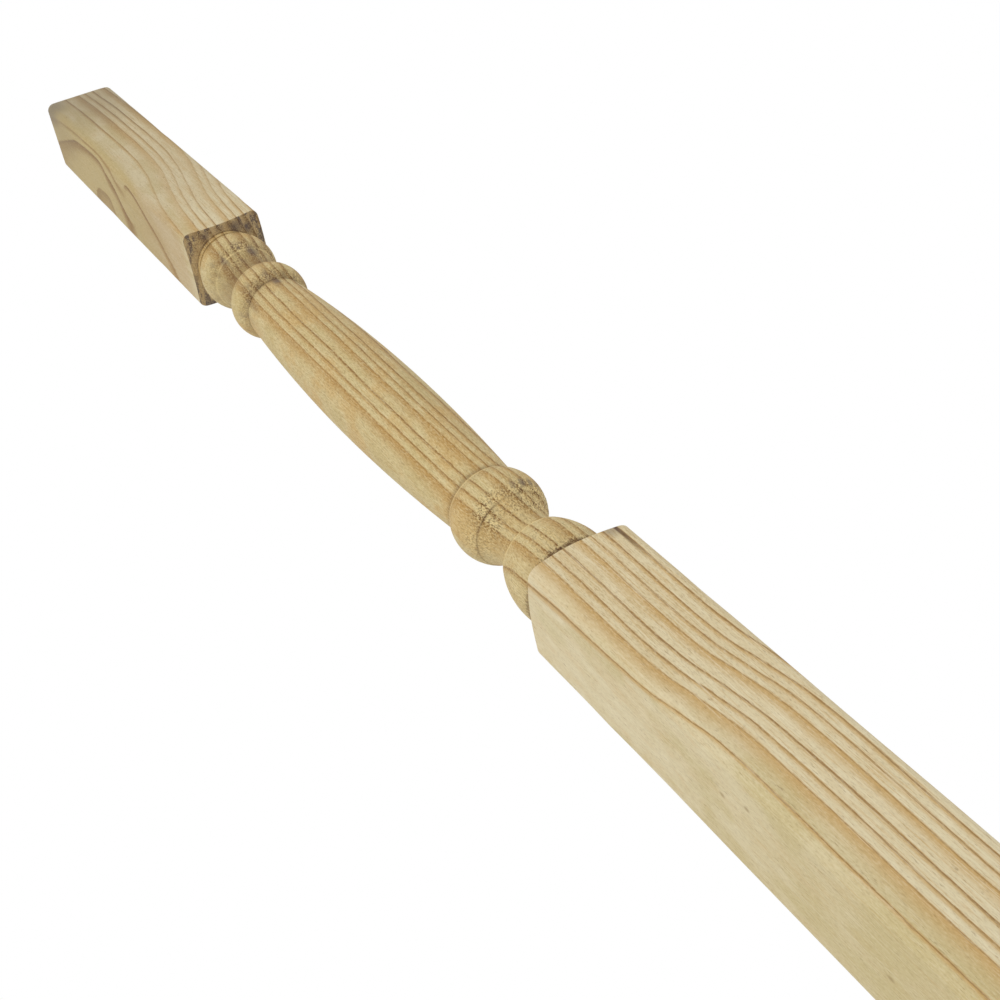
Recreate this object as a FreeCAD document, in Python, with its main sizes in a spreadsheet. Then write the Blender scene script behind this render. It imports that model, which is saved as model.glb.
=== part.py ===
import FreeCAD, Part
import math
import os
import Sketcher

# Turned stair baluster: a square softwood stick, turned between two square blocks.
# The axis is Z, the bottom end lies on Z = 0, and all lengths are in millimetres.

# Driving dimensions: lengths run along the axis, radii are from the axis, and a swell or hollow is
# how far an arc stands out from, or in from, the straight line between its two ends.
DIMENSIONS = [
    ("blank_width", 33.3),
    ("edge_radius", 3.2),
    ("bottom_block_length", 374.65),
    ("foot_bead_bottom_radius", 14.9),
    ("foot_bead_length", 19.0),
    ("foot_bead_swell", 1.7),
    ("foot_bead_top_radius", 12.5),
    ("neck_bottom_radius", 10.6),
    ("neck_length", 14.4),
    ("neck_hollow", 1.8),
    ("ball_bottom_radius", 12.8),
    ("ball_length", 15.4),
    ("ball_swell", 2.1),
    ("ball_top_radius", 13.4),
    ("vase_bottom_radius", 12.5),
    ("vase_length", 155.8),
    ("vase_swell", 3.5),
    ("vase_top_radius", 12.4),
    ("ring_bottom_radius", 11.9),
    ("ring_length", 12.2),
    ("ring_swell", 2.1),
    ("ring_top_radius", 14.3),
    ("cove_bottom_radius", 12.2),
    ("cove_length", 17.8),
    ("cove_hollow", 1.5),
    ("cap_bead_bottom_radius", 13.0),
    ("cap_bead_length", 17.4),
    ("cap_bead_swell", 2.6),
    ("cap_bead_top_radius", 12.6),
    ("quirk_radius", 13.2),
    ("quirk_length", 2.0),
    ("top_block_length", 184.15),
    ("shoulder_relief", 2.8),
    ("cutter_clearance", 1.5),
]

# Turned members from the bottom up: name, radius at its bottom, radius at its top, and its form.
# A swell or a hollow is an arc, a straight member is a cylinder, and a step has no length.
MEMBERS = [
    ("foot_bead", "foot_bead_bottom_radius", "foot_bead_top_radius", "swell"),
    ("foot_lip", "foot_bead_top_radius", "neck_bottom_radius", "step"),
    ("neck", "neck_bottom_radius", "ball_bottom_radius", "hollow"),
    ("ball", "ball_bottom_radius", "ball_top_radius", "swell"),
    ("ball_lip", "ball_top_radius", "vase_bottom_radius", "step"),
    ("vase", "vase_bottom_radius", "vase_top_radius", "swell"),
    ("vase_lip", "vase_top_radius", "ring_bottom_radius", "step"),
    ("ring", "ring_bottom_radius", "ring_top_radius", "swell"),
    ("ring_lip", "ring_top_radius", "cove_bottom_radius", "step"),
    ("cove", "cove_bottom_radius", "cap_bead_bottom_radius", "hollow"),
    ("cap_bead", "cap_bead_bottom_radius", "cap_bead_top_radius", "swell"),
    ("quirk_edge", "cap_bead_top_radius", "quirk_radius", "step"),
    ("quirk", "quirk_radius", "quirk_radius", "straight"),
]

SIZE = dict(DIMENSIONS)
LENGTHS = [name + "_length" for name, bottom, top, form in MEMBERS if form != "step"]
TURNING_LENGTH = " + ".join("sizes." + name for name in LENGTHS)
# The cut reaches just past the rounded corners of the blank.
CORNER_REACH = "(sizes.blank_width / 2 - sizes.edge_radius) * sqrt(2) + sizes.edge_radius"
CUTTER_REACH = CORNER_REACH + " + sizes.cutter_clearance"

START, END = 1, 2
ORIGIN = (-1, 1)

doc = FreeCAD.newDocument("stair_baluster")

sheet = doc.addObject("Spreadsheet::Sheet", "sizes")
for row, (name, value) in enumerate(DIMENSIONS, start=1):
    sheet.set(f"A{row}", name)
    sheet.set(f"B{row}", str(value))
    sheet.setAlias(f"B{row}", name)
doc.recompute()

body = doc.addObject("PartDesign::Body", "baluster")
body.Label = "baluster"
body.Placement = FreeCAD.Placement()


def origin_plane(role):
    return next(plane for plane in body.Origin.OriginFeatures if plane.Role == role)


def new_sketch(name, role):
    sketch = body.newObject("Sketcher::SketchObject", name)
    sketch.AttachmentSupport = [(origin_plane(role), "")]
    sketch.MapMode = "FlatFace"
    return sketch


def bind(sketch, name, formula, *constraint):
    # A named constraint whose value follows the sheet.
    index = sketch.addConstraint(Sketcher.Constraint(*constraint))
    sketch.renameConstraint(index, name)
    sketch.setExpression("Constraints." + name, formula)


def point(across, along):
    return FreeCAD.Vector(across, along, 0)


def line(sketch, first, last):
    return sketch.addGeometry(Part.LineSegment(first, last), False)


def arc_radius(chord, rise):
    return (chord ** 2 / 4 + rise ** 2) / (2 * rise)


def arc_between(sketch, bottom, top, rise, outward):
    # Arc through two points; its centre lies on their bisector, inside for a swell and outside for a hollow.
    chord = top - bottom
    radius = arc_radius(chord.Length, rise)
    side = FreeCAD.Vector(chord.y, -chord.x, 0).normalize()
    offset = rise - radius if outward else radius - rise
    centre = (bottom + top) * 0.5 + side * offset
    first, last = (bottom, top) if outward else (top, bottom)
    start_angle = math.atan2(first.y - centre.y, first.x - centre.x)
    end_angle = math.atan2(last.y - centre.y, last.x - centre.x)
    circle = Part.Circle(centre, FreeCAD.Vector(0, 0, 1), radius)
    return sketch.addGeometry(Part.ArcOfCircle(circle, start_angle, end_angle), False)


# Blank: a centred square, as long as the two blocks and the turning, with its long edges eased
section = new_sketch("blank_section", "XY_Plane")
half = SIZE["blank_width"] / 2
corners = [point(-half, -half), point(half, -half), point(half, half), point(-half, half)]
sides = [line(section, corners[i], corners[(i + 1) % 4]) for i in range(4)]
for i in range(4):
    section.addConstraint(Sketcher.Constraint("Coincident", sides[i], END, sides[(i + 1) % 4], START))
    section.addConstraint(Sketcher.Constraint("Horizontal" if i % 2 == 0 else "Vertical", sides[i]))
section.addConstraint(Sketcher.Constraint("Symmetric", sides[0], START, sides[1], END, *ORIGIN))
section.addConstraint(Sketcher.Constraint("Equal", sides[0], sides[1]))
bind(section, "width", "sizes.blank_width", "DistanceX", sides[0], START, sides[0], END, SIZE["blank_width"])

blank = body.newObject("PartDesign::Pad", "blank")
blank.Profile = section
blank.setExpression("Length", f"sizes.bottom_block_length + {TURNING_LENGTH} + sizes.top_block_length")
doc.recompute()

long_edges = [
    f"Edge{number}"
    for number, edge in enumerate(blank.Shape.Edges, start=1)
    if abs(edge.tangentAt(edge.FirstParameter).z) > 0.99
]
eased = body.newObject("PartDesign::Fillet", "eased_edges")
eased.Base = (blank, long_edges)
eased.setExpression("Radius", "sizes.edge_radius")
doc.recompute()
volume_of_blank = body.Shape.Volume

# Turning: the waste around the members, cut away round the axis between the two shoulders
profile = new_sketch("turning_profile", "XZ_Plane")
height = SIZE["bottom_block_length"]
outline = []
for name, bottom_size, top_size, form in MEMBERS:
    bottom = point(SIZE[bottom_size], height)
    height += SIZE.get(name + "_length", 0)
    top = point(SIZE[top_size], height)
    length = f"sizes.{name}_length"
    if form in ("swell", "hollow"):
        rise = f"sizes.{name}_{form}"
        outward = form == "swell"
        member = arc_between(profile, bottom, top, SIZE[f"{name}_{form}"], outward)
        low, high = (START, END) if outward else (END, START)
        chord_squared = f"({length} ^ 2 + (sizes.{top_size} - sizes.{bottom_size}) ^ 2)"
        formula = f"({chord_squared} / 4 + {rise} ^ 2) / (2 * {rise})"
        radius = arc_radius((top - bottom).Length, SIZE[f"{name}_{form}"])
        bind(profile, name + "_curve", formula, "Radius", member, radius)
    else:
        member = line(profile, bottom, top)
        low, high = START, END
    if outline:
        profile.addConstraint(Sketcher.Constraint("Coincident", *outline[-1][1], member, low))
    else:
        foot = (*ORIGIN, member, low)
        bind(profile, "foot_height", "sizes.bottom_block_length", "DistanceY", *foot, bottom.y)
        bind(profile, "foot_radius", "sizes." + bottom_size, "DistanceX", *foot, bottom.x)
    if form == "step":
        profile.addConstraint(Sketcher.Constraint("Horizontal", member))
    else:
        bind(profile, name + "_span", length, "DistanceY", member, low, member, high, top.y - bottom.y)
    if form == "straight":
        profile.addConstraint(Sketcher.Constraint("Vertical", member))
    else:
        bind(profile, name + "_end", "sizes." + top_size, "DistanceX", *ORIGIN, member, high, top.x)
    outline.append(((member, low), (member, high)))

# Each shoulder leans back into its block towards the corners
reach = (half - SIZE["edge_radius"]) * math.sqrt(2) + SIZE["edge_radius"] + SIZE["cutter_clearance"]
relief = SIZE["shoulder_relief"]
top_corner = point(reach, height + relief)
bottom_corner = point(reach, SIZE["bottom_block_length"] - relief)
bottom_edge = point(SIZE["foot_bead_bottom_radius"], SIZE["bottom_block_length"])
top_shoulder = line(profile, top, top_corner)
outside = line(profile, top_corner, bottom_corner)
bottom_shoulder = line(profile, bottom_corner, bottom_edge)
profile.addConstraint(Sketcher.Constraint("Coincident", *outline[-1][1], top_shoulder, START))
profile.addConstraint(Sketcher.Constraint("Coincident", top_shoulder, END, outside, START))
profile.addConstraint(Sketcher.Constraint("Coincident", outside, END, bottom_shoulder, START))
profile.addConstraint(Sketcher.Constraint("Coincident", bottom_shoulder, END, *outline[0][0]))
profile.addConstraint(Sketcher.Constraint("Vertical", outside))
bind(profile, "reach", CUTTER_REACH, "DistanceX", *ORIGIN, outside, START, reach)
for name, member in (("top_relief", top_shoulder), ("bottom_relief", bottom_shoulder)):
    bind(profile, name, "sizes.shoulder_relief", "DistanceY", member, START, member, END, relief)

turning = body.newObject("PartDesign::Groove", "turning")
turning.Profile = profile
turning.ReferenceAxis = (profile, ["V_Axis"])
turning.Angle = 360.0
doc.recompute()

# Nothing is written unless every object is sound and the turning took wood away
for item in doc.Objects:
    if "Invalid" in item.State or "Error" in item.State:
        raise RuntimeError(f"{item.Name} failed: {item.State}")
for sketch in (section, profile):
    if sketch.solve() != 0 or not sketch.FullyConstrained:
        raise RuntimeError(f"{sketch.Name} is not fully constrained")
if body.Shape.isNull() or not body.Shape.isValid() or len(body.Shape.Solids) != 1:
    raise RuntimeError("the baluster is not one sound solid")
if body.Shape.Volume > 0.98 * volume_of_blank:
    raise RuntimeError("the turning removed no wood")

os.makedirs("parts", exist_ok=True)
body.Shape.exportStep(f"parts/{body.Label}.step")
print(f"{body.Label}: {body.Shape.Volume:.0f} of the blank's {volume_of_blank:.0f} mm3 are left")
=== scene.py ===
import math

import bpy
import numpy as np
from mathutils import Matrix, Vector


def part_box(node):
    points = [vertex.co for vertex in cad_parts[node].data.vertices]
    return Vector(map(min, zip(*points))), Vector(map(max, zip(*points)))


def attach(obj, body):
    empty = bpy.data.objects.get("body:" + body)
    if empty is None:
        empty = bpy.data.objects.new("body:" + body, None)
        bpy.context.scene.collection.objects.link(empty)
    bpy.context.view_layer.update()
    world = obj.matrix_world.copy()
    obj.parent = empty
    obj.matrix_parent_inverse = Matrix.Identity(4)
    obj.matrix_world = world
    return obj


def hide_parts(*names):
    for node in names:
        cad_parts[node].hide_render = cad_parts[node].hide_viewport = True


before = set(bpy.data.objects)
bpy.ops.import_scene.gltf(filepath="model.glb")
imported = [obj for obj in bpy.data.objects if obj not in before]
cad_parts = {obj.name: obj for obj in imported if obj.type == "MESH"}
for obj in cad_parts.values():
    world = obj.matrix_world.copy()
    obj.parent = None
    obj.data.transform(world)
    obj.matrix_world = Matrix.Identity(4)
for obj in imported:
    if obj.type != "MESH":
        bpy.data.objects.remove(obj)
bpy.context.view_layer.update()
mm = 0.001
scene = bpy.context.scene
scene.view_settings.view_transform = "Standard"

# The stick. Lengths and radii are in mm, heights run up from the bottom end.
# A member has a length, a radius at its bottom, one at its top, and a rise: how far its arc stands out from
# the straight line between its ends, below zero for a hollow. The last number is how many rows it gets.
low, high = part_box("baluster")
stick = {
    "half": (high.x - low.x) / 2 / mm,
    "length": (high.z - low.z) / mm,
    "edgeRadius": 3.2,
    "bottomBlock": 374.65,
    "members": [
        ("footBead", 19.0, 14.9, 12.5, 1.7, 46),
        ("neck", 14.4, 10.6, 12.8, -1.8, 34),
        ("ball", 15.4, 12.8, 13.4, 2.1, 46),
        ("vase", 155.8, 12.5, 12.4, 3.5, 88),
        ("ring", 12.2, 11.9, 14.3, 2.1, 42),
        ("cove", 17.8, 12.2, 13.0, -1.5, 36),
        ("capBead", 17.4, 13.0, 12.6, 2.6, 46),
        ("quirk", 2.0, 13.2, 13.2, 0.0, 7),
    ],
    "shoulderRelief": 2.8,          # how far a shoulder leans back into its block at the cutter's reach
    "cutterReach": 23.72,
    "turningOffset": -1.0,          # the lathe's centres sat a little to one side of the stick's middle
    "arrisEase": 0.35,              # softened edge between a block and its shoulder
    "sawnEase": 0.6,                # softened edge of a sawn end
    "flatColumns": 44,
    "arcColumns": 10,
    "blockRows": 22,
    "rowCrowding": 1.6,             # above 1 the block's rows crowd towards its shoulder
    "shoulderRows": 12,
    "easeRows": 4,
    "endScales": (0.9, 0.75, 0.55, 0.35, 0.15),     # rows of a sawn end, as shares of its outline
    "sharpAngle": 38.0,             # degrees past which an edge is drawn sharp
}

# What the cutter left, with painted shade in creases and hollows and painted highlights on the beads' lips:
# member, where along it (0 bottom, 1 top), spread in mm, amount
tearing = {
    "torn": [
        ("footBead", 0.1, 1.8, 0.9),
        ("neck", 0.8, 4.2, 0.85),
        ("neck", 0.4, 6.0, 0.35),
        ("ball", 0.12, 3.4, 1.0),
        ("vase", 0.5, 90.0, 0.1),
        ("vase", 0.97, 5.0, 0.35),
        ("ring", 0.15, 3.0, 0.85),
        ("cove", 0.75, 6.0, 0.5),
        ("capBead", 0.1, 3.0, 0.85),
        ("footBead", 0.45, 8.0, 0.35),
    ],
    # painted shade in the creases between members
    "creaseShadeZones": [
        ("footBead", 0.08, 0.9, 1.0),
        ("ball", 0.0, 0.3, 0.9),
        ("vase", 0.008, 0.9, 0.5),
        ("ring", 0.0, 0.3, 0.8),
        ("cove", 0.1, 0.9, 0.4),
        ("neck", 0.1, 0.8, 0.4),
        ("quirk", 1.0, 0.3, 0.8),
    ],
    # painted shade: at the feet of the neck, vase, ring and cap bead, through the cove's hollow, and faintly
    # over the vase
    "paintedShade": [
        ("neck", 0.05, 2.0, 0.15),
        ("vase", 0.0, 3.0, 0.35),
        ("vase", 0.5, 70.0, 0.07),
        ("ring", 0.05, 2.6, 0.5),
        ("cove", 0.5, 9.0, 1.0),
        ("capBead", 0.05, 2.4, 0.5),
    ],
    # pale rims along the beads' lips are painted highlights; the ring's middle band is a paler colour of its
    # own
    "worn": [
        ("footBead", 1.0, 0.8, 1.0),
        ("ball", 1.0, 0.8, 1.0),
        ("ring", 1.0, 0.8, 1.0),
        ("ring", 0.65, 3.5, 0.22),
        ("capBead", 0.0, 0.35, 0.8),
        ("capBead", 0.96, 1.0, 0.7),
    ],
    "depth": 0.34,                  # deepest pit, mm
    "pitSize": 0.9,
    "edgeWear": 0.22,               # how far the arrises are knocked back, mm
    "arris": (2.6, 2.5),            # mm beyond the half width where an arris starts, and how wide it is
    "shoulderTear": 0.7,
    "worstSide": -1.5,              # the side that tore most, as an angle round the stick
    "roundness": 0.10,              # how far the turning strays from a true circle, mm
}


def latticeNoise(points, cell, seed):
    # value noise in -1..1: hashed heights on a lattice of the given cell, blended by 3t^2 - 2t^3
    scaled = points / np.asarray(cell, float)
    corner = np.floor(scaled).astype(np.int64)
    ease = scaled - corner
    ease = ease * ease * (3 - 2 * ease)
    total = np.zeros(points.shape[:-1])
    for step in np.ndindex(2, 2, 2):
        site = corner + np.array(step)
        mixed = site[..., 0] * 374761393 + site[..., 1] * 668265263 + site[..., 2] * 1442695041 + seed * 97531
        mixed = ((mixed ^ (mixed >> 13)) & 0x7FFFFFFF) * 1274126177
        mixed = (mixed ^ (mixed >> 16)) & 0xFFFF
        share = np.prod(np.where(np.array(step) == 1, ease, 1 - ease), axis=-1)
        total = total + share * mixed / 0xFFFF
    return total * 2 - 1


def sectionLoop(spec):
    # one turn of the square with rounded corners: a flat side and a corner arc, four times round
    inner = spec["half"] - spec["edgeRadius"]
    along = np.linspace(-inner, inner, spec["flatColumns"], endpoint=False)
    turn = np.linspace(0, math.pi / 2, spec["arcColumns"], endpoint=False)
    x = np.concatenate([np.full_like(along, spec["half"]), inner + spec["edgeRadius"] * np.cos(turn)])
    y = np.concatenate([along, inner + spec["edgeRadius"] * np.sin(turn)])
    quarters = [(x, y), (-y, x), (-x, -y), (y, -x)]
    return np.concatenate([q[0] for q in quarters]), np.concatenate([q[1] for q in quarters])


def memberArc(length, bottomRadius, topRadius, rise, rows):
    # heights and radii along a circular arc on the chord between two radii, crowded towards both ends
    height = length * (1 - np.cos(np.linspace(0, math.pi, rows))) / 2
    if rise == 0:
        return height, bottomRadius + (topRadius - bottomRadius) * height / length
    chord = math.hypot(length, topRadius - bottomRadius)
    radius = (chord ** 2 / 4 + rise ** 2) / (2 * abs(rise))
    side = math.copysign(1.0, rise)
    centreHeight = length / 2 - side * (abs(rise) - radius) * (topRadius - bottomRadius) / chord
    centreRadius = (bottomRadius + topRadius) / 2 + side * (abs(rise) - radius) * length / chord
    return height, centreRadius + side * np.sqrt(np.maximum(radius ** 2 - (height - centreHeight) ** 2, 0))


def turnedProfile(spec):
    # all members stacked from the bottom block up, with each member's foot and length kept by name
    foot, heights, radii, places = spec["bottomBlock"], [], [], {}
    for name, length, bottomRadius, topRadius, rise, rows in spec["members"]:
        height, radius = memberArc(length, bottomRadius, topRadius, rise, rows)
        places[name] = (foot, length)
        heights.append(foot + height)
        radii.append(radius)
        foot += length
    return np.concatenate(heights), np.concatenate(radii), places


def stickGrid(spec):
    # rows from the middle of the bottom end, up the bottom block, over the turning and on to the middle of
    # the top end; each row is one turn of the section, so the stick is a single sheet closed at two poles
    sx, sy = sectionLoop(spec)
    angle = np.arctan2(sy, sx)
    height, radius, places = turnedProfile(spec)
    offset, top = spec["turningOffset"], spec["length"]
    rimX = offset + radius[:, None] * np.cos(angle)
    rimY = radius[:, None] * np.sin(angle)
    rimZ = np.repeat(height[:, None], len(angle), axis=1)

    def shoulder(row, lean):
        # cone from the first or last turned row out to the block's section
        share = np.linspace(0, 1, spec["shoulderRows"] + 1)[1:, None]
        inset = 1 - spec["arrisEase"] / spec["half"]
        x = rimX[row] * (1 - share) + sx * inset * share
        y = rimY[row] * (1 - share) + sy * inset * share
        slope = spec["shoulderRelief"] / (spec["cutterReach"] - radius[row])
        away = np.hypot(x - offset, y) - radius[row]
        return x, y, rimZ[row] + lean * slope * away

    def softEdge(z, inset, lean):
        # quarter round from a face onto the block's side
        turn = np.linspace(0, math.pi / 2, spec["easeRows"] + 1)[1:, None]
        scale = 1 - inset / spec["half"] * (1 - np.sin(turn))
        return sx * scale, sy * scale, z + lean * inset * (1 - np.cos(turn))

    def blockSide(edge, end, lean):
        # straight sides from the scalloped edge at the shoulder to the softened end
        share = np.linspace(0, 1, spec["blockRows"] + 1)[1:, None] ** spec["rowCrowding"]
        last = end - lean * spec["sawnEase"]
        return sx + 0 * share, sy + 0 * share, edge * (1 - share) + last * share

    def sawnEnd(end, lean):
        # softened edge, then the end shrinking to its middle
        turn = np.linspace(0, math.pi / 2, spec["easeRows"] + 1)[1:, None]
        ease = spec["sawnEase"]
        edgeScale = 1 - ease / spec["half"] * (1 - np.cos(turn))
        edgeZ = end - lean * ease * (1 - np.sin(turn)) + 0 * sx
        shrink = np.array(spec["endScales"])[:, None] * (1 - ease / spec["half"])
        return (np.vstack([sx * edgeScale, sx * shrink]), np.vstack([sy * edgeScale, sy * shrink]),
                np.vstack([edgeZ, np.full((len(shrink), len(sx)), end)]))

    upper = [shoulder(-1, 1)]
    upper.append(softEdge(upper[-1][2][-1], spec["arrisEase"], 1))
    upper.append(blockSide(upper[-1][2][-1], top, 1))
    upper.append(sawnEnd(top, 1))
    lower = [shoulder(0, -1)]
    lower.append(softEdge(lower[-1][2][-1], spec["arrisEase"], -1))
    lower.append(blockSide(lower[-1][2][-1], 0.0, -1))
    lower.append(sawnEnd(0.0, -1))
    stack = [np.vstack([np.vstack([part[axis] for part in lower])[::-1], (rimX, rimY, rimZ)[axis],
                        np.vstack([part[axis] for part in upper])]) for axis in range(3)]
    firstTurned = sum(len(part[0]) for part in lower)
    return np.stack(stack, axis=-1), firstTurned, firstTurned + len(height), places


def gridNormals(grid):
    # outward normal: the step round the stick crossed with the step up it
    around = np.roll(grid, -1, axis=1) - np.roll(grid, 1, axis=1)
    upward = np.gradient(grid, axis=0)
    normal = np.cross(around, upward)
    return normal / np.maximum(np.linalg.norm(normal, axis=-1, keepdims=True), 1e-9)


def bell(distance, spread):
    return np.exp(-(distance / spread) ** 2)


def zoneSum(zones, places, z, turned):
    # the largest of the bell-shaped zones at each point
    values = np.zeros_like(z)
    for name, share, spread, amount in zones:
        foot, length = places[name]
        values = np.maximum(values, amount * turned * bell(z - foot - share * length, spread))
    return values


def wearGrid(grid, first, last, places, spec, tear):
    # torn pits, knocked arrises and a little wander of the round, all cut inwards along the normal;
    # no turned point stands outside the blank's own faces
    grid = np.clip(grid, (-spec["half"], -spec["half"], 0), (spec["half"], spec["half"], spec["length"]))
    normal = gridNormals(grid)
    z = grid[..., 2]
    turned = np.zeros(grid.shape[:2])
    turned[first:last] = 1.0
    side = 0.5 + 0.5 * np.cos(np.arctan2(grid[..., 1], grid[..., 0]) - tear["worstSide"])
    patch = np.clip(0.75 + 0.6 * latticeNoise(grid, (5.0, 5.0, 9.0), 3), 0.35, 1.0)
    torn = zoneSum(tear["torn"], places, z, turned) * (0.45 + 0.55 * side) * patch
    # painted shade in the creases between members, broken up by specks in the material
    crease = zoneSum(tear["creaseShadeZones"], places, z, turned) * (0.4 + 0.6 * patch) * (0.5 + 0.5 * side)
    # painted shade at the members' feet and in the cove's hollow
    burnish = zoneSum(tear["paintedShade"], places, z, turned) * (0.6 + 0.4 * side)
    # painted highlights along the beads' lips, with a paler band on the ring
    worn = zoneSum(tear["worn"], places, z, turned) * (0.4 + 0.6 * patch)
    shoulders = np.zeros_like(turned)
    shoulders[first - spec["shoulderRows"] + 2:first] = 1.0
    shoulders[last:last + spec["shoulderRows"] - 2] = 1.0
    torn = np.maximum(torn, tear["shoulderTear"] * shoulders * (0.35 + 0.65 * patch))
    pits = latticeNoise(grid, tear["pitSize"], 11) + 0.6 * latticeNoise(grid, 0.45 * tear["pitSize"], 12)
    pits = np.clip(pits, 0, 1)
    arrisStart, arrisWidth = tear["arris"]
    beyond = np.hypot(grid[..., 0], grid[..., 1]) - spec["half"] - arrisStart
    corner = np.clip(beyond, 0, arrisWidth) / arrisWidth * (1 - turned)
    knocks = latticeNoise(grid, (9.0, 9.0, 16.0), 21) + 0.5 * latticeNoise(grid, (4.0, 4.0, 5.0), 22)
    knocks = np.clip(knocks, 0, 1)
    wander = turned * (0.5 + 0.5 * latticeNoise(grid, (18.0, 18.0, 42.0), 31))
    depth = tear["depth"] * torn * pits + tear["edgeWear"] * corner * knocks + tear["roundness"] * wander
    traits = {"endGrain": np.abs(normal[..., 2]), "torn": torn, "crease": crease, "burnish": burnish,
              "worn": worn, "turned": turned}
    return grid - normal * depth[..., None], traits


def sheetFaces(rows, columns):
    # quads between neighbouring rows, closed round the seam, with a fan of triangles at each pole
    index = np.arange(rows * columns).reshape(rows, columns)
    ahead = np.roll(index, -1, axis=1)
    quads = np.stack([index[:-1], ahead[:-1], ahead[1:], index[1:]], axis=-1).reshape(-1, 4)
    bottomPole, topPole = rows * columns, rows * columns + 1
    bottomFan = np.stack([np.full(columns, bottomPole), ahead[0], index[0]], axis=-1)
    topFan = np.stack([np.full(columns, topPole), index[-1], ahead[-1]], axis=-1)
    return quads.tolist() + bottomFan.tolist() + topFan.tolist()


def makeStick(spec, tear):
    grid, first, last, places = stickGrid(spec)
    worn, traits = wearGrid(grid, first, last, places, spec, tear)
    rows, columns = worn.shape[:2]
    poles = np.array([[0, 0, 0], [0, 0, spec["length"]]])
    points = np.vstack([worn.reshape(-1, 3), poles]) * mm
    mesh = bpy.data.meshes.new("turned_stick")
    mesh.from_pydata(points.tolist(), [], sheetFaces(rows, columns))
    for name, values in traits.items():
        atPoles = [1.0, 1.0] if name == "endGrain" else [0.0, 0.0]
        attribute = mesh.attributes.new(name, "FLOAT", "POINT")
        attribute.data.foreach_set("value", np.append(values.ravel(), atPoles).astype(np.float32))
    mesh.polygons.foreach_set("use_smooth", np.ones(len(mesh.polygons), bool))
    mesh.set_sharp_from_angle(angle=math.radians(spec["sharpAngle"]))
    mesh.update()
    piece = bpy.data.objects.new("turned_stick", mesh)
    scene.collection.objects.link(piece)
    print("stick:", rows, "rows of", columns, "columns")
    return piece


class Field:
    # a shader socket; arithmetic on it adds Math nodes, and node() adds any other kind
    def __init__(self, tree, socket=None):
        self.tree = tree
        self.socket = socket

    def node(self, kind, settings=None, inputs=None, output=0):
        made = self.tree.nodes.new(kind)
        for name, value in (settings or {}).items():
            if name == "stops":
                self.fillRamp(made.color_ramp, value)
            elif name == "points":
                self.fillCurve(made.mapping, value)
            else:
                setattr(made, name, value)
        for name, value in (inputs or {}).items():
            if isinstance(value, Field):
                self.tree.links.new(value.socket, made.inputs[name])
            else:
                made.inputs[name].default_value = value
        return Field(self.tree, made.outputs[output] if made.outputs else None)

    def fillRamp(self, ramp, stops):
        while len(ramp.elements) < len(stops):
            ramp.elements.new(1.0)
        for element, (place, colour) in zip(ramp.elements, stops):
            element.position = place
            element.color = colour

    def fillCurve(self, mapping, points):
        curve = mapping.curves[0]
        while len(curve.points) < len(points):
            curve.points.new(1.0, 1.0)
        for point, (place, value) in zip(curve.points, points):
            point.location = (place, value)
        mapping.update()

    def maths(self, operation, *values):
        return self.node("ShaderNodeMath", {"operation": operation}, dict(enumerate(values)))

    def __add__(self, other):
        return self.maths("ADD", self, other)

    __radd__ = __add__

    def __sub__(self, other):
        return self.maths("SUBTRACT", self, other)

    def __rsub__(self, other):
        return self.maths("SUBTRACT", other, self)

    def __mul__(self, other):
        return self.maths("MULTIPLY", self, other)

    __rmul__ = __mul__

    def __truediv__(self, other):
        return self.maths("DIVIDE", self, other)

    def __pow__(self, other):
        return self.maths("POWER", self, other)

    def clipped(self):
        return self.node("ShaderNodeClamp", {}, {0: self})

    def between(self, start, end):
        # 0 at start, 1 at end, eased between; start may be the larger
        settings = {"interpolation_type": "SMOOTHSTEP", "clamp": True}
        return self.node("ShaderNodeMapRange", settings, {"Value": self, "From Min": start, "From Max": end})

    def stretched(self, scale):
        return self.node("ShaderNodeVectorMath", {"operation": "MULTIPLY"}, {0: self, 1: scale})

    def grain(self, cells, detail=2.0, roughness=0.5):
        # soft noise, 0..1, whose cells measure so many mm along X, Y and Z
        scale = tuple(1 / (size * mm) for size in cells)
        inputs = {"Vector": self.stretched(scale), "Scale": 1.0, "Detail": detail, "Roughness": roughness}
        return self.node("ShaderNodeTexNoise", {}, inputs)

    def over(self, factor, colour, mode="MIX"):
        # colour laid on this one by factor
        settings = {"data_type": "RGBA", "blend_type": mode, "clamp_factor": True}
        return self.node("ShaderNodeMix", settings, {0: factor, 6: self, 7: colour}, 2)


def shade(red, green, blue):
    # a colour written in 0..255 screen values, as linear light
    values = [channel / 255 for channel in (red, green, blue)]
    return tuple(v / 12.92 if v <= 0.04045 else ((v + 0.055) / 1.055) ** 2.4 for v in values) + (1.0,)


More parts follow.
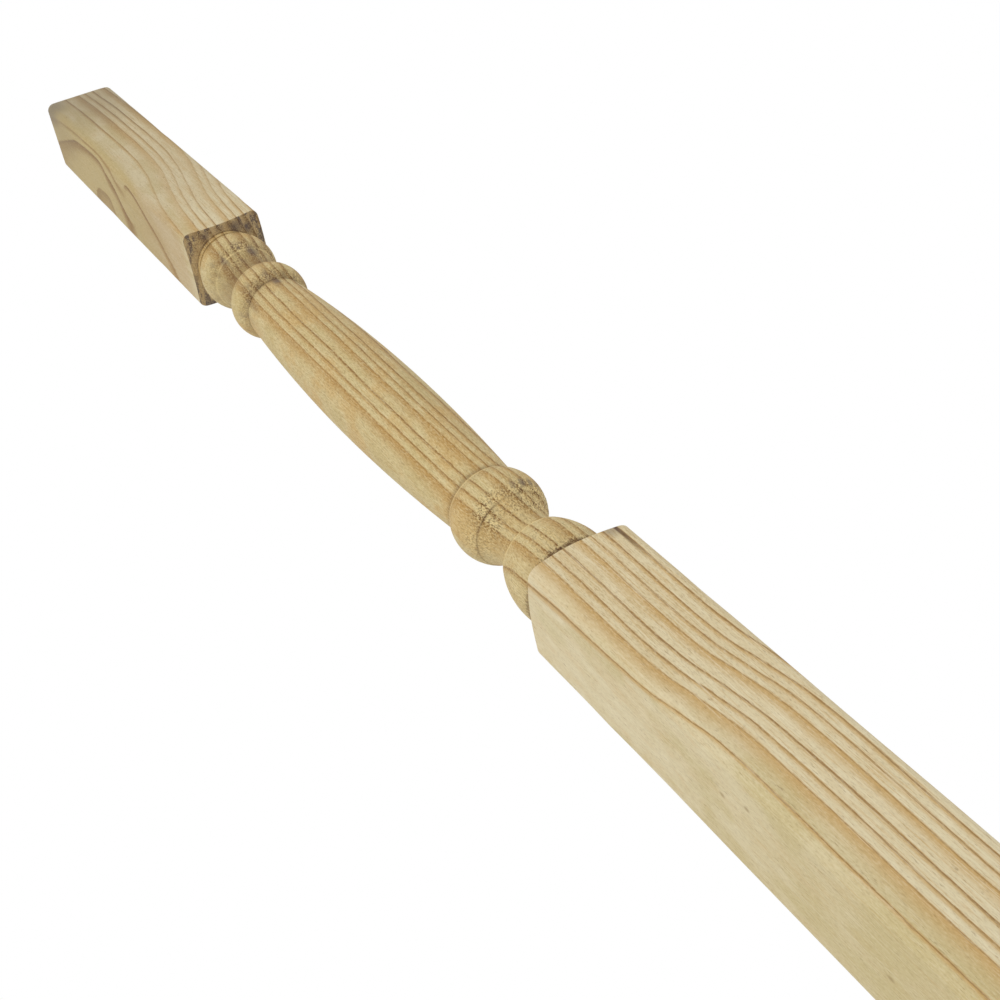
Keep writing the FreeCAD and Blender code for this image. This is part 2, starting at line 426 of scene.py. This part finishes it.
pine = {
    "earlyWood": shade(222, 208, 170),
    "midWood": shade(212, 191, 145),
    "lateWood": shade(201, 163, 99),
    "ringLine": shade(133, 98, 56),
    "greyLine": shade(136, 114, 82),
    "paleFibre": shade(242, 230, 198),
    "mottle": shade(216, 188, 138),
    "heartTint": shade(209, 188, 131),
    "heartLate": shade(144, 109, 60),
    # the turned wood's warmer tint, partly painted shade for the light's falloff along the stick
    "turnedTintAndShade": shade(244, 238, 217),
    "turnedWarm": shade(214, 174, 108),
    "turnedLate": shade(186, 146, 92),
    "olive": shade(204, 187, 136),
    # painted shade: multiplied over the far block so it darkens as the light falls off along the stick
    "weathered": shade(236, 233, 229),
    # painted shade colour, multiplied into the cove and the members' feet
    "paintedShade": shade(178, 163, 143),
    "endGrain": shade(170, 143, 103),
    "endStreak": shade(86, 77, 80),
    # dark scorched fibres of torn wood; also the colour of the painted shade in the creases
    "scorch": shade(92, 62, 34),
    "tornWood": shade(146, 113, 74),
    # lifted fibres; also the colour of the painted highlights along the beads' lips
    "liftedFibreAndHighlight": shade(242, 218, 158),
    "dirt": shade(128, 117, 102),
    "pith": (-70.0, 15.0),          # the tree's centre, beside the stick, mm
    "ringSpan": (-38.0, 40.0),      # range that the ring curve covers, mm
    # each growth ring from the pith outwards: where its dark line stands, mm of late wood before it, how dark
    "rings": [(-33.5, 3.0, 0.4), (-25.0, 4.0, 1.0), (-18.5, 4.0, 1.0), (-6.7, 2.2, 1.0), (0.0, 6.5, 0.95),
              (3.5, 2.1, 0.95), (7.4, 1.5, 0.9), (13.1, 4.4, 1.0), (16.4, 2.1, 0.9), (19.9, 2.1, 1.0),
              (24.1, 1.9, 1.0), (28.5, 2.6, 0.9), (33.0, 1.6, 0.9), (38.0, 2.6, 0.9)],
    # how far the rings wander to +X along the stick: height, mm
    "drift": [(0, -7.4), (100, -7.7), (225, -7.0), (284, -6.7), (306, -8.7), (328, -10.9), (374, -10.9),
              (434, -15.4), (511, -15.2), (572, -13.8), (629, -9.4), (655, -7.2), (673, -4.3), (687, -1.8),
              (701, 0.4), (727, 2.0), (813, -0.1)],
    # how much further the rings nearest the pith wander: height, mm
    "arch": [(0, 0.0), (325, 0.0), (350, -0.8), (378, -1.7), (420, 0.0), (629, 0.0), (649, -1.3), (661, -1.1),
             (670, -0.6), (682, 0.0), (693, 1.2), (701, 0.0), (709, -2.6), (720, 0.0), (731, 2.6), (742, 5.6),
             (763, 4.5), (785, 2.2), (805, 0.3), (813, -0.5)],
    "driftSpan": (-20.0, 10.0),
    # stretches of the stick with a look of their own, and one of painted shade: heights in mm between which
    # each fades in, and out
    "zones": {
        "turning": [(400, 440), (620, 580)],
        "waist": [(392, 410), (640, 620)],
        "ballFoot": [(385, 395), (425, 415)],
        "aboveFoot": [(396, 410)],
        "upperTurning": [(480, 575)],
        "topBeads": [(568, 574)],
        "belowTopBlock": [(630, 560)],
        "topBlock": [(630, 670)],
        "topHeart": [(630, 700)],
        "topFoot": [(630, 660), (730, 690)],
        "topLow": [(714, 702)],
        "topHigh": [(696, 706)],
        "topHead": [(745, 805)],
        "greyEnd": [(715, 785)],
        # painted shade: where the far end is darkened for the light's falloff
        "weathered": [(600, 690)],
        "farShoulder": [(628, 640), (720, 650)],
        "nearShoulder": [(250, 370), (500, 400)],
        "nearEdge": [(310, 365), (500, 400)],
        "nearMiddle": [(200, 240), (340, 290)],
        "nearLow": [(330, 190)],
    },
    "lineWidth": (0.65, 0.18),       # where the dark line starts and is full, mm before the ring's edge
    # marks left by handling and knots of dark wood: centre in mm, size in mm, strength and colour
    "smudges": [
        ((-16.0, -16.0, 812.0), 12.0, 0.9, "dirt"),
        ((0.0, -16.6, 813.0), 40.0, 0.5, "dirt"),
        ((0.2, -12.6, 577.0), 2.4, 0.8, "endStreak"),
        ((-5.8, -11.5, 581.5), 2.6, 0.6, "scorch"),
        ((4.4, -11.6, 581.5), 2.4, 0.6, "scorch"),
        ((3.0, -11.8, 608.0), 3.2, 0.8, "endStreak"),
        ((-3.4, -12.8, 609.5), 1.8, 0.4, "scorch"),
        ((-8.4, -10.6, 609.5), 2.0, 0.5, "endStreak"),
        ((-12.4, -6.6, 609.0), 2.2, 0.4, "scorch"),
        ((5.6, -10.9, 609.0), 0.8, 1.0, "scorch"),
        ((2.4, -14.0, 410.6), 1.6, 0.6, "endStreak"),
        ((5.9, -12.9, 410.9), 1.9, 0.8, "endStreak"),
        ((8.9, -11.0, 411.4), 1.8, 0.8, "endStreak"),
        ((11.2, -8.6, 411.8), 1.7, 0.75, "endStreak"),
        ((10.8, -16.4, 373.0), 3.6, 0.6, "endStreak"),
        ((-16.6, -7.5, 280.0), 0.9, 0.7, "ringLine"),
        ((-16.6, -4.0, 289.0), 0.9, 0.6, "ringLine"),
        ((-16.6, 1.5, 233.0), 1.0, 0.6, "ringLine"),
        ((5.6, -13.2, 629.3), 3.4, 0.8, "endStreak"),
        ((10.5, -11.5, 629.5), 3.0, 0.7, "endStreak"),
        ((-7.7, -13.8, 629.3), 2.6, 0.7, "endStreak"),
    ],
    # the torn streak beside one ring at the bottom block's corner: ring's place and width, heights, all mm
    "tornStreak": (23.4, 0.9, 352.0, 371.0),
}


def zone(spec, name, z):
    # 1 within a stretch of the stick, easing to 0 outside it
    fades = [z.between(start, end) for start, end in spec["zones"][name]]
    return math.prod(fades[1:], start=fades[0])


def heightCurve(spec, name, z):
    # a curve of mm against height, through the listed points
    least, most = spec["driftSpan"]
    points = [(height / spec[name][-1][0], (value - least) / (most - least)) for height, value in spec[name]]
    curve = z.node("ShaderNodeFloatCurve", {"points": points}, {"Value": z / spec[name][-1][0]})
    return curve * (most - least) + least


def ringField(spec, position):
    # distance from the pith, measured where its ring crosses the -Y face, less the drift along the stick
    x, y, z = (position.node("ShaderNodeSeparateXYZ", {}, {0: position}, axis) / mm for axis in "XYZ")
    pithX, pithY = spec["pith"]
    faceY = -stick["half"] - pithY
    squared = (x - pithX) ** 2.0 + (y - pithY) ** 2.0 - faceY ** 2
    crossing = squared.maths("SQRT", squared) + pithX
    arch = heightCurve(spec, "arch", z) * crossing.between(-14.0, -20.0)
    wobble = position.grain((26, 26, 70), 1.0) * 1.6 + position.grain((5, 5, 34), 2.0) * 0.8
    wobble = wobble + position.grain((0.8, 0.8, 10), 2.0) * 0.42 + position.grain((0.4, 0.4, 4), 1.0) * 0.24
    wobble = wobble - 1.53                  # its own mean, so that the rings stay where they are written
    spread = crossing.between(-5.0, 6.0) * zone(spec, "turning", z) * 1.6
    return crossing - heightCurve(spec, "drift", z) - arch + spread + wobble, x, y, z


def ringTraits(spec, across, z):
    # ring number and place inside the ring; a stepped ramp then gives each ring's width, late wood and dark
    start, end = spec["ringSpan"]
    count = len(spec["rings"]) + 1
    lines = [ring[0] for ring in spec["rings"]]
    points = [(0.0, 0.0)]
    points += [((line - start) / (end - start), number / count) for number, line in enumerate(lines, 1)]
    points += [(1.0, 1.0)]
    along = (across - start) / (end - start)
    number = across.node("ShaderNodeFloatCurve", {"points": points}, {"Value": along}) * count
    place = number.maths("FRACT", number)
    widths = np.diff([start] + lines + [end])
    traits = spec["rings"] + [(end, 2.0, 0.9)]
    full = 16.0                             # mm that a full channel of the ramp stands for
    stops = [(k / count, (widths[k] / full, traits[k][1] / full, traits[k][2], 1.0)) for k in range(count)]
    whole = number.maths("FLOOR", number)
    ramp = number.node("ShaderNodeValToRGB", {"stops": stops}, {0: (whole + 0.5) / count})
    ramp.socket.node.color_ramp.interpolation = "CONSTANT"
    width, late, dark = (ramp.node("ShaderNodeSeparateColor", {}, {0: ramp}, k) for k in range(3))
    before = (1 - place) * width * full     # mm still to go to the ring's dark line
    after = place * width * full            # mm since the line of the ring before it
    # the inmost rings show in the top block only, and the next one in the blocks only
    inmost = across.between(-13.0, -15.0) * zone(spec, "belowTopBlock", z)
    inmost = inmost + across.between(-19.0, -20.5) * zone(spec, "topLow", z)
    inmost = inmost + across.between(-12.5, -14.0) * across.between(-20.5, -19.0) * zone(spec, "topHigh", z)
    inner = across.between(-4.0, -5.5) * zone(spec, "waist", z)
    paler = zone(spec, "topFoot", z) * across.between(-14.0, -12.0) * 0.4
    paler = paler + zone(spec, "topHead", z) * across.between(-12.0, -14.0) * 0.6
    dark = dark * (1 - inmost.clipped()) * (1 - inner) * (1 - paler)
    return before, after, late * full, dark


def reach(centre, *place):
    # distance from a point, with the third length, along the grain, counted shorter
    away = 0.0
    for middle, value, share in zip(centre, place, (1.0, 1.0, 0.6)):
        away = ((value - middle) * share) ** 2.0 + away
    return away.maths("SQRT", away)


def pineMaterial(spec):
    material = bpy.data.materials.new("pine")
    material.use_nodes = True
    tree = material.node_tree
    tree.nodes.clear()
    start = Field(tree)
    position = start.node("ShaderNodeTexCoord", {}, {}, "Object")
    endGrain, torn, crease, burnish, worn, turned = (
        start.node("ShaderNodeAttribute", {"attribute_name": name}, {}, "Fac")
        for name in ("endGrain", "torn", "crease", "burnish", "worn", "turned"))
    across, x, y, z = ringField(spec, position)
    before, after, late, dark = ringTraits(spec, across, z)

    # long grain: pale early wood warming to a band of late wood, then the ring's line and a short tail
    fibre = position.grain((0.4, 0.4, 18), 3.0, 0.65)
    broad = position.grain((9, 9, 60), 2.0)
    pore = position.grain((0.35, 0.35, 3.0), 2.0, 0.6)
    dust = position.grain((0.38, 0.38, 1.5), 2.0, 0.7)
    mottle = position.grain((4, 4, 9), 3.0, 0.6)
    ripeness = 1 - before / late
    share = ripeness.between(0.0, 0.6) * 0.4 + ripeness.between(0.3, 1.0) * 0.6
    share = share.maths("MAXIMUM", share, after.between(0.3, 0.0) * 0.7)
    heart = across.between(-12.0, -16.0) * zone(spec, "topHeart", z)
    top = zone(spec, "topBlock", z)
    grey = zone(spec, "greyEnd", z)
    lateShare = share * dark * (0.6 + 0.8 * fibre) * (1 - 0.2 * top * (1 - heart) * (1 - grey))
    line = before.between(*spec["lineWidth"]) * dark * (0.6 + 0.4 * late.between(2.8, 1.4))
    colour = start.node("ShaderNodeRGB")
    colour.socket.default_value = spec["earlyWood"]
    colour = colour.over(broad.between(0.35, 0.75) * 0.6, spec["midWood"])
    colour = colour.over(mottle.between(0.5, 0.72) * 0.4, spec["mottle"])
    colour = colour.over(mottle.between(0.5, 0.3) * 0.3, spec["paleFibre"])
    colour = colour.over(heart * 0.85, spec["heartTint"])
    calm = across.between(-0.4, -2.0) * (1 - turned)
    cloud = position.grain((12, 12, 20), 3.0)
    warm = turned * zone(spec, "aboveFoot", z)
    colour = colour.over(warm * cloud.between(0.47, 0.62) * 0.5, spec["turnedWarm"])
    colour = colour.over((warm + 0.7 * top) * cloud.between(0.5, 0.36) * 0.35, spec["olive"])
    colour = colour.over(top * cloud.between(0.52, 0.66) * 0.2, spec["mottle"])
    colour = colour.over(calm * cloud.between(0.46, 0.66) * 0.7, spec["olive"])
    colour = colour.over(calm * zone(spec, "nearLow", z) * 0.75, spec["olive"])
    colour = colour.over(calm * zone(spec, "nearEdge", z) * 0.15, spec["paleFibre"])
    bleached = zone(spec, "nearMiddle", z) * (1 - calm) + top * (1 - heart) * (1 - grey)
    colour = colour.over(bleached * 0.18, spec["paleFibre"])
    nearTop = (1 - turned) * zone(spec, "nearShoulder", z) * (1 - calm)
    colour = colour.over(nearTop * 0.2, spec["mottle"])
    flank = x.between(-12.0, -16.0) * zone(spec, "farShoulder", z)
    colour = colour.over(flank * (0.15 + 0.5 * cloud), spec["turnedLate"])
    colour = colour.over(lateShare, spec["lateWood"])
    colour = colour.over(lateShare * heart * 0.85, spec["heartLate"])
    colour = colour.over(lateShare * turned * 0.3, spec["turnedLate"])
    colour = colour.over(lateShare * turned * zone(spec, "topBeads", z) * 0.55, spec["tornWood"])
    colour = colour.over(line * (0.82 - 0.3 * top + 0.4 * heart), spec["ringLine"])
    colour = colour.over((line * 0.5 + lateShare * 0.45) * grey, spec["greyLine"])
    colour = colour.over(fibre.between(0.48, 0.3) * (0.5 - 0.25 * calm), spec["lateWood"])
    colour = colour.over(fibre.between(0.52, 0.7) * (0.45 - 0.2 * calm), spec["paleFibre"])
    colour = colour.over(pore.between(0.38, 0.24) * 0.5, spec["ringLine"])
    gritty = turned + 0.5 * nearTop
    colour = colour.over(dust.between(0.5, 0.3) * (0.18 + 0.22 * gritty), spec["ringLine"])
    colour = colour.over(dust.between(0.5, 0.7) * (0.2 + 0.24 * gritty), spec["paleFibre"])
    # the turned wood's own warmer tint, partly painted shade darkening the turning
    colour = colour.over(turned, spec["turnedTintAndShade"], "MULTIPLY")
    # painted shade: the far block darker, for the light falling off towards it
    colour = colour.over(zone(spec, "weathered", z), spec["weathered"], "MULTIPLY")
    # painted shade in the cove and at the members' feet
    colour = colour.over(burnish * (0.5 + 0.5 * broad), spec["paintedShade"], "MULTIPLY")

    # end grain and torn wood: brown, blotched with grey, with scorched and lifted fibres
    streak = position.grain((2.6, 2.6, 12), 2.0)
    bar = position.grain((1.7, 6.0, 12), 2.0)       # on the end grain, about along the rings
    speck = position.grain((0.5, 0.5, 1.2), 2.0, 0.6)
    fleck = position.grain((0.45, 0.45, 0.9), 1.0, 0.5)
    dash = position.grain((0.7, 0.7, 3.4), 2.0, 0.6)
    place, width, foot, head = spec["tornStreak"]
    away = across.maths("ABSOLUTE", across - place)
    ripped = away.between(width, 0.3 * width) * z.between(foot, head) * z.between(head + 5.0, head + 4.0)
    ripped = ripped * y.between(-12.0, -15.0)
    endShare = endGrain.between(0.5, 0.92)
    radial = reach((stick["turningOffset"], 0.0), x, y)
    outer = radial.between(14.0, 17.5)
    endColour = colour.over(0.85, spec["endGrain"])
    endColour = endColour.over(bar.between(0.43, 0.55) * (0.25 + 0.6 * outer), spec["endStreak"])
    endColour = endColour.over(lateShare * 0.6, spec["scorch"])
    endColour = endColour.over(fleck.between(0.52, 0.62) * 0.2, spec["liftedFibreAndHighlight"])
    colour = colour.over(endShare, endColour)
    worst = torn * (1 - 0.6 * endShare)
    upper = zone(spec, "upperTurning", z)
    colour = colour.over(worst * streak.between(0.4, 0.58) * (0.1 + 0.5 * upper), spec["tornWood"])
    colour = colour.over(worst * streak.between(0.53, 0.66) * (0.2 + 0.5 * upper), spec["endStreak"])
    colour = colour.over(worst * (dash.between(0.55, 0.66) * 0.5 + lateShare * 0.6), spec["scorch"])
    dense = speck + 0.018 * (1 - upper)
    colour = colour.over(worst * dense.between(0.55, 0.62) * (0.9 - 0.2 * upper), spec["scorch"])
    colour = colour.over(worst * fleck.between(0.5, 0.57) * (0.95 - 0.25 * upper), spec["liftedFibreAndHighlight"])
    colour = colour.over(ripped * (0.5 + 0.7 * dash), spec["scorch"])
    kept = 1 - 0.65 * zone(spec, "ballFoot", z) * x.between(-8.0, -4.0)     # painted crease shade thinned but for the left side
    # painted shade in the creases, broken by specks
    colour = colour.over(crease * kept * (0.4 + 0.6 * speck.between(0.3, 0.55)), spec["scorch"])
    # painted highlights along the beads' lips, with a paler band on the ring
    colour = colour.over(worn * (0.35 + 0.6 * fleck), spec["liftedFibreAndHighlight"])

    # smudges and dark knots of wood
    for centre, size, strength, name in spec["smudges"]:
        mask = reach(centre, x, y, z).between(size, 0.2 * size) * strength
        colour = colour.over(mask * (0.2 + dust), spec[name])

    ticks = position.grain((2.2, 2.2, 0.4), 2.0) * turned
    relief = fibre * 0.4 + lateShare * 0.3 + ticks * 0.5 + torn * speck * 1.8 + endShare * fleck * 0.9
    bump = start.node("ShaderNodeBump", {}, {"Strength": 0.4, "Distance": 0.0004, "Height": relief}, "Normal")
    roughness = 0.62 + 0.12 * fibre + 0.14 * endShare + 0.1 * torn
    shader = start.node("ShaderNodeBsdfPrincipled", {}, {
        "Base Color": colour, "Roughness": roughness, "Normal": bump, "Specular IOR Level": 0.3})
    start.node("ShaderNodeOutputMaterial", {}, {"Surface": shader})
    print("pine:", len(tree.nodes), "nodes")
    return material


piece = makeStick(stick, tearing)
piece.data.materials.append(pineMaterial(pine))
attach(piece, "root")
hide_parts("baluster")

studio = {
    "floorSize": 60.0,
    "floorColour": shade(244, 244, 242),
    "floorGlow": 0.5,               # share of plain white in what the camera sees of the floor
    "floorFade": (0.4, 4.0),        # from the stick, m: where that share starts to grow and where it is all
    "ambient": 0.76,
    "keyPlace": (-0.42, -0.44, 0.47),
    "keyAim": (0.0, 0.0, 0.40),
    "keySize": 0.5,
    "keyPower": 0.95,
}


def whiteRays(start):
    # 1 for the rays that see the backdrop as plain white: straight from the camera, mirrored or let through
    seen, mirrored, through = (start.node("ShaderNodeLightPath", {}, {}, f"Is {kind} Ray")
                               for kind in ("Camera", "Glossy", "Transmission"))
    return (seen + mirrored + through).clipped()


def makeFloor(spec):
    half = spec["floorSize"] / 2
    corners = np.array([(-half, -half, 0), (half, -half, 0), (half, half, 0), (-half, half, 0)])
    mesh = bpy.data.meshes.new("floor")
    mesh.from_pydata(corners.tolist(), [], [(0, 1, 2, 3)])
    floor = bpy.data.objects.new("floor", mesh)
    scene.collection.objects.link(floor)
    material = bpy.data.materials.new("floor")
    material.use_nodes = True
    tree = material.node_tree
    tree.nodes.clear()
    start = Field(tree)
    paint = start.node("ShaderNodeBsdfPrincipled", {}, {"Base Color": spec["floorColour"], "Roughness": 0.9})
    glow = start.node("ShaderNodeEmission", {}, {"Color": (1, 1, 1, 1), "Strength": 1.0})
    place = start.node("ShaderNodeTexCoord", {}, {}, "Object")
    x, y = (place.node("ShaderNodeSeparateXYZ", {}, {0: place}, axis) for axis in "XY")
    fade = reach((0.0, 0.0), x, y).between(*spec["floorFade"])
    white = whiteRays(start) * (fade * (1 - spec["floorGlow"]) + spec["floorGlow"])
    mixed = start.node("ShaderNodeMixShader", {}, {0: white, 1: paint, 2: glow})
    start.node("ShaderNodeOutputMaterial", {}, {"Surface": mixed})
    mesh.materials.append(material)


def makeLight(spec):
    world = bpy.data.worlds.new("studio")
    world.use_nodes = True
    scene.world = world
    tree = world.node_tree
    tree.nodes.clear()
    start = Field(tree)
    strength = whiteRays(start) * (1 - spec["ambient"]) + spec["ambient"]
    sky = start.node("ShaderNodeBackground", {}, {"Color": (1, 1, 1, 1), "Strength": strength})
    start.node("ShaderNodeOutputWorld", {}, {"Surface": sky})
    lamp = bpy.data.lights.new("key", "AREA")
    lamp.size = spec["keySize"]
    lamp.energy = spec["keyPower"]
    key = bpy.data.objects.new("key", lamp)
    key.location = spec["keyPlace"]
    aim = Vector(spec["keyAim"]) - Vector(spec["keyPlace"])
    key.rotation_euler = aim.to_track_quat("-Z", "Y").to_euler()
    scene.collection.objects.link(key)


view = {
    "eye": (-149.82, -271.25, 113.05),  # mm
    "aim": (2.48, -1.4, 421.06),
    "roll": -47.225,                    # degrees round the line of sight
    "lens": 51.343,
    "sensor": 36.0,
}


def makeCamera(spec):
    eye, aim = Vector(spec["eye"]) * mm, Vector(spec["aim"]) * mm
    forward = (aim - eye).normalized()
    level = forward.cross(Vector((0, 0, 1))).normalized()
    upright = level.cross(forward)
    roll = math.radians(spec["roll"])
    right = level * math.cos(roll) + upright * math.sin(roll)
    up = right.cross(forward)
    data = bpy.data.cameras.new("camera")
    data.lens = spec["lens"]
    data.sensor_width = spec["sensor"]
    data.clip_start = 0.01
    camera = bpy.data.objects.new("camera", data)
    camera.matrix_world = Matrix((right, up, -forward)).transposed().to_4x4()
    camera.location = eye
    scene.collection.objects.link(camera)
    scene.camera = camera


makeFloor(studio)
makeLight(studio)
makeCamera(view)
print("studio: floor, light and camera set")
